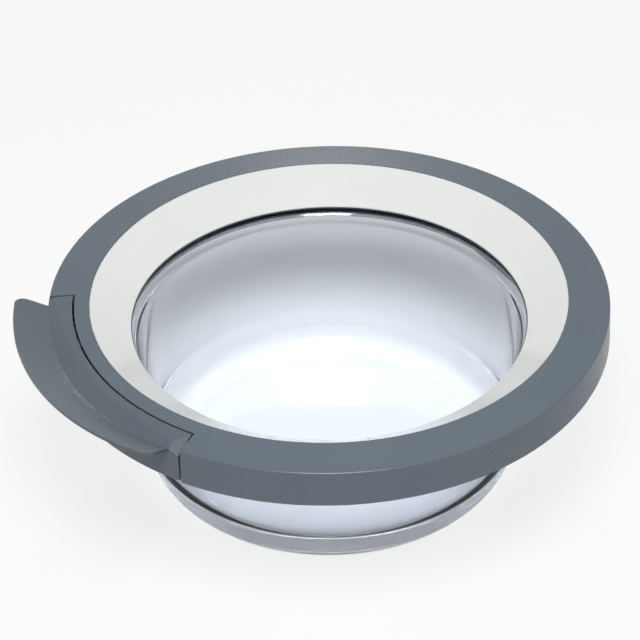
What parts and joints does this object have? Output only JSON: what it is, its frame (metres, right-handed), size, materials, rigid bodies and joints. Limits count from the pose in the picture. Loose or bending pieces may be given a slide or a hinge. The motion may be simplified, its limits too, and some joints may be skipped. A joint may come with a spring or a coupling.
{
  "type": "washing machine door",
  "caption": "Round front-loader washing machine door with a deep clear glass bowl, white conical trim, grey frame, pull handle, latch hook and hinge.",
  "frame": {"origin": "centre of the glass bowl's flat bottom, on which the door rests", "axes": "+Z out of the front of the door, along the bowl's axis; the handle is at -X, the hinge at +X, and +Y is up when the door hangs on the machine"},
  "size_m": [0.5024, 0.472, 0.1756],
  "materials": {
    "frame_grey": "satin gloss blue-grey ABS",
    "handle_grey": "satin gloss dark grey ABS",
    "trim_white": "glossy white ABS",
    "clear_glass": "clear pressed glass",
    "seal_rubber": "matte black rubber",
    "rear_grey": "matte light grey plastic",
    "zinc_steel": "zinc plated steel",
    "pin_steel": "ground steel",
    "cast_zinc": "die-cast zinc",
    "spring_steel": "spring steel wire",
    "bush_plastic": "natural acetal"
  },
  "bodies": {
    "door": {"outer_frame": "frame_grey", "trim_ring": "trim_white", "glass_bowl": "clear_glass", "glass_seal": "seal_rubber", "rear_frame": "rear_grey", "frame_screws": "zinc_steel", "handle_pins": "pin_steel", "handle_springs": "spring_steel", "latch_bracket": "zinc_steel", "hook_pin": "pin_steel", "hook_spring": "spring_steel", "latch_screws": "zinc_steel", "hinge_bracket": "cast_zinc", "hinge_bush_upper": "bush_plastic", "hinge_bush_lower": "bush_plastic", "hinge_screws": "zinc_steel"},
    "handle_lever": {"handle": "handle_grey"},
    "hook": {"latch_hook": "cast_zinc"},
    "hinge_leaf": {"hinge_arm": "cast_zinc", "hinge_pin": "pin_steel", "pin_clips": "spring_steel"}
  },
  "joints": [
    {"name": "handle_pivot", "type": "hinge", "parent": "door", "child": "handle_lever", "pos_m": [-0.201, 0, 0.159], "axis": [0, 1, 0], "range_deg": [0, 10], "stiffness_Nm_per_rad": 1, "springref_deg": -17.19, "deforming": ["handle_springs"]},
    {"name": "hook_pivot", "type": "hinge", "parent": "door", "child": "hook", "pos_m": [-0.206, 0, 0.144], "axis": [0, -1, 0], "range_deg": [0, 12], "deforming": ["hook_spring"]},
    {"name": "hinge_swing", "type": "hinge", "parent": "door", "child": "hinge_leaf", "pos_m": [0.222, 0, 0.127], "axis": [0, -1, 0], "range_deg": [0, 165]}
  ],
  "couplings": [
    {"joint": "hook_pivot", "follows": "handle_pivot", "ratio": 1.1}
  ]
}
